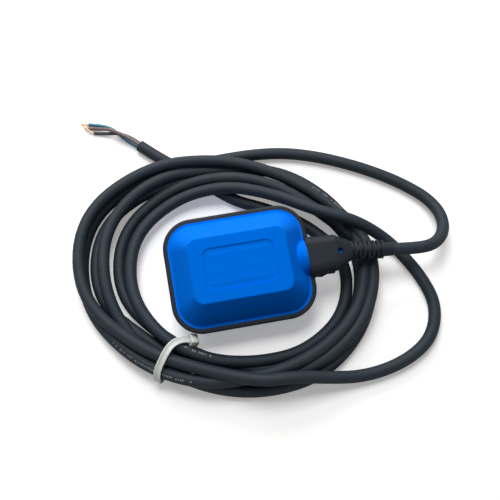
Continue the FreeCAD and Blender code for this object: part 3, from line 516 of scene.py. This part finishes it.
def slotted_block(middle, pass_way, width_way, length, width, height, slot_width, slot_height):
    """Mesh of a block with a slot through it: four rings of rounded rectangles, outer then inner, joined in
    a closed loop, each ring a superellipse in the plane square to the way that the strap passes."""
    pass_way = np.array(pass_way) / np.linalg.norm(pass_way)
    width_way = np.array(width_way) - np.dot(width_way, pass_way) * pass_way
    width_way /= np.linalg.norm(width_way)
    up_way = np.cross(pass_way, width_way)
    angle = np.linspace(0, 2 * np.pi, 32, endpoint=False)
    rings = []
    for at, w, h, power in ((-0.5, width * 0.94, height * 0.92, 0.30), (-0.44, width, height, 0.30),
                            (0.44, width, height, 0.30), (0.5, width * 0.94, height * 0.92, 0.30),
                            (0.5, slot_width, slot_height, 0.2), (-0.5, slot_width, slot_height, 0.2)):
        x = w / 2 * np.sign(np.cos(angle)) * np.abs(np.cos(angle)) ** power
        y = h / 2 * np.sign(np.sin(angle)) * np.abs(np.sin(angle)) ** power
        ring = np.array(middle) + at * length * pass_way + x[:, None] * width_way + y[:, None] * up_way
        rings.append(ring)
    rings.append(rings[0])
    mesh = grid_mesh("tie_head", np.array(rings), caps=False)
    work = bmesh.new()
    work.from_mesh(mesh)
    bmesh.ops.remove_doubles(work, verts=work.verts, dist=1e-7)
    bmesh.ops.recalc_face_normals(work, faces=work.faces)
    work.to_mesh(mesh)
    work.free()
    return mesh


strap_mesh = grid_mesh("tie_strap", strap(strap_line, strap_width, strap_thickness, leaning))
head_mesh = slotted_block(head_middle, through_head, leaning, head_length, head_width, head_height,
                          slot_width, slot_height)
tie = join("tie", [strap_mesh, head_mesh])
milky_nylon = worn("tie_nylon", (0.74, 0.77, 0.73), (0.82, 0.84, 0.81), 0.5, 700.0, 0.34, 0.1, 0.10,
                   Specular_IOR_Level=0.4, Subsurface_Weight=0.6, Subsurface_Radius=(1.0, 1.0, 0.95),
                   Subsurface_Scale=0.002)
tie.data.materials.append(milky_nylon)
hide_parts("cable_tie")
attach(tie, "housing")

# ------------------------------------------------------------------ float shells
# Two blue polypropylene shells, injection moulded and satin, with wide bevels round a flat face. The face's
# edge is crisp, and the floor of its recess is bare, with the soft unevenness of a thick moulding.
float_half_length, shell_half_height, shell_tilt = 0.049, 0.021, math.radians(12.0)
shell_middle = np.array((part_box("seam_and_boot")[0][0] + float_half_length, 0.0,
                         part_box("upper_shell")[1][2] / 2))
face_half_length, face_half_width, face_corner = 0.0308, 0.0198, 0.0046
recess_half_length, recess_half_width, recess_fade = 0.0215, 0.0120, 0.003
# Leans of the bevel and of the solid's rows of points on the round that leads to it, in radians
bevel_lean = math.radians(56.0)
edge_leans = bevel_lean * np.array((0, 0.35, 0.7, 1))
wide_round, crisp_round = 0.003, 0.0011
# Both rounds touch face and bevel, so the crisp one starts further out by the difference in tangents
crisp_start = (wide_round - crisp_round) * math.tan(bevel_lean / 2)
# How near a point must be to a row of the round to belong to it: in drop, and outward
drop_slack, out_slack = 5e-5, 2e-4


def crisp_shell(name):
    """Copy of a shell with the round at its face's edge made smaller. A point of the round is known by its
    drop below the face, radius times one minus the cosine of its lean. It moves along the outline's outward
    direction and down to the same lean on the crisp round, so the solid's own normals still hold."""
    solid = nodes[name].data
    normals = np.empty(len(solid.loops) * 3)
    solid.corner_normals.foreach_get("vector", normals)
    work = bmesh.new()
    work.from_mesh(solid)
    bmesh.ops.remove_doubles(work, verts=work.verts, dist=1e-6)
    mesh = bpy.data.meshes.new(name + "_crisp")
    work.to_mesh(mesh)
    work.free()
    place = np.empty(len(mesh.vertices) * 3)
    mesh.vertices.foreach_get("co", place)
    place = place.reshape(-1, 3)
    cosine, sine = math.cos(shell_tilt), math.sin(shell_tilt)
    turn = np.array(((1, 0, 0), (0, cosine, sine), (0, -sine, cosine)))
    flat = (place - shell_middle) @ turn.T
    core = np.array((face_half_length, face_half_width)) - face_corner
    past = np.maximum(np.abs(flat[:, :2]) - core, 0.0)
    reach = np.linalg.norm(past, axis=1)
    away = np.sign(flat[:, :2]) * past / np.maximum(reach, 1e-9)[:, None]
    out, drop = reach - face_corner, shell_half_height - np.abs(flat[:, 2])
    for lean in edge_leans:
        old_out, old_drop = wide_round * math.sin(lean), wide_round * (1 - math.cos(lean))
        new_out, new_drop = crisp_start + crisp_round * math.sin(lean), crisp_round * (1 - math.cos(lean))
        found = (np.abs(drop - old_drop) < drop_slack) & (np.abs(out - old_out) < out_slack)
        flat[found, :2] += (new_out - old_out) * away[found]
        flat[found, 2] += np.sign(flat[found, 2]) * (old_drop - new_drop)
    mesh.vertices.foreach_set("co", (flat @ turn + shell_middle).ravel())
    mesh.polygons.foreach_set("use_smooth", [True] * len(mesh.polygons))
    mesh.update()
    mesh.normals_split_custom_set(normals.reshape(-1, 3).tolist())
    mesh.materials.clear()
    mesh.materials.append(shell_blue)
    piece = bpy.data.objects.new(name + "_skin", mesh)
    bpy.context.scene.collection.objects.link(piece)
    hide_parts(name)
    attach(piece, "housing")
    return piece


shell_blue = worn("float_blue", (0.000, 0.180, 0.880), (0.000, 0.197, 0.910), 0.5, 520.0, 0.42, 0.10, 0.10,
                  Specular_IOR_Level=0.03, Specular_Tint=(0.0, 0.45, 1.0, 1))
tree = shell_blue.node_tree
here = add(tree, "ShaderNodeTexCoord")
level = add(tree, "ShaderNodeMapping", {"vector_type": "TEXTURE"}, Location=shell_middle,
            Rotation=(shell_tilt, 0.0, 0.0))
split = add(tree, "ShaderNodeSeparateXYZ")
tree.links.new(here.outputs["Object"], level.inputs["Vector"])
tree.links.new(level.outputs[0], split.inputs[0])
# Slow ripples in the floor of the recess, longer along the face than across it and fading at the recess's edge
inside = []
for axis, edge in (("X", recess_half_length), ("Y", recess_half_width)):
    size = add(tree, "ShaderNodeMath", {"operation": "ABSOLUTE"})
    fade = add(tree, "ShaderNodeMapRange", {"interpolation_type": "SMOOTHSTEP"}, From_Min=edge,
               From_Max=edge - recess_fade, To_Min=0.0, To_Max=1.0)
    tree.links.new(split.outputs[axis], size.inputs[0])
    tree.links.new(size.outputs[0], fade.inputs["Value"])
    inside.append(fade)
recess_mask = add(tree, "ShaderNodeMath", {"operation": "MULTIPLY"})
drawn_out = add(tree, "ShaderNodeMapping", Scale=(70.0, 140.0, 70.0))
ripple = add(tree, "ShaderNodeTexNoise", Scale=1.0, Detail=2.5, Roughness=0.55)
masked = add(tree, "ShaderNodeMath", {"operation": "MULTIPLY"})
uneven = add(tree, "ShaderNodeBump", Strength=0.5, Distance=0.0009)
for side in (0, 1):
    tree.links.new(inside[side].outputs[0], recess_mask.inputs[side])
tree.links.new(level.outputs[0], drawn_out.inputs["Vector"])
tree.links.new(drawn_out.outputs[0], ripple.inputs["Vector"])
tree.links.new(ripple.outputs["Fac"], masked.inputs[0])
tree.links.new(recess_mask.outputs[0], masked.inputs[1])
tree.links.new(masked.outputs[0], uneven.inputs["Height"])
fine = next(node for node in tree.nodes if node.type == "BUMP" and node != uneven)
tree.links.new(uneven.outputs[0], fine.inputs["Normal"])
crisp_shell("upper_shell")
crisp_shell("lower_shell")

# ------------------------------------------------------------------ seam band and boot
# One piece of black rubber, moulded over the seam of both shells and the cord: the band, the boot with its
# pin holes, the slotted sleeve and the flash. It is satin, with slightly paler patches.
boot_black = worn("boot_rubber", (0.004, 0.008, 0.014), (0.011, 0.017, 0.025), 0.5, 1100.0, 0.55, 0.14, 0.3,
                  Specular_IOR_Level=0.24)
finish_nodes(boot_black, "boot_rubber", "seam_and_boot")

# ------------------------------------------------------------------ inside the float
# Sealed capsule with its ball, track and microswitch. None of it shows while the shells are shut, and each
# part has the finish that such a part has.

# Finish and its solids, base and rubbed colours, rubbed share, grain, roughness and its swing, bump, metal
for finish, names, base, rubbed, *rest, metal in (
        ("capsule_plastic", ("capsule_base", "capsule_lid"),
         (0.72, 0.72, 0.70), (0.80, 0.80, 0.78), 0.5, 600.0, 0.4, 0.1, 0.1, 0.0),
        ("seal_rubber", ("capsule_gasket", "cord_grommet"),
         (0.05, 0.05, 0.05), (0.09, 0.09, 0.09), 0.4, 1200.0, 0.6, 0.1, 0.3, 0.0),
        ("track_plastic", ("ball_track",),
         (0.60, 0.60, 0.58), (0.68, 0.68, 0.66), 0.5, 700.0, 0.4, 0.1, 0.1, 0.0),
        ("switch_plastic", ("switch_case", "switch_cover"),
         (0.03, 0.03, 0.035), (0.07, 0.07, 0.075), 0.5, 900.0, 0.5, 0.1, 0.2, 0.0),
        ("plunger_plastic", ("switch_plunger",),
         (0.55, 0.03, 0.02), (0.62, 0.08, 0.06), 0.5, 900.0, 0.4, 0.1, 0.1, 0.0),
        ("clamp_plastic", ("cord_clamp",),
         (0.35, 0.36, 0.36), (0.42, 0.43, 0.43), 0.5, 800.0, 0.5, 0.1, 0.2, 0.0),
        ("bright_steel", ("steel_ball", "switch_screws", "switch_lever", "lever_pin", "clamp_screws"),
         (0.62, 0.62, 0.63), (0.52, 0.52, 0.53), 0.6, 2200.0, 0.24, 0.12, 0.1, 1.0),
        ("spring_brass", ("contact_blade", "terminal_com", "terminal_no", "terminal_nc"),
         (0.72, 0.52, 0.22), (0.60, 0.42, 0.18), 0.6, 2200.0, 0.3, 0.12, 0.1, 1.0)):
    finish_nodes(worn(finish, base, rubbed, *rest, Metallic=metal), finish, *names)
for colour in insulation:
    finish_nodes(insulation[colour], colour + "_insulation", "wire_" + colour)
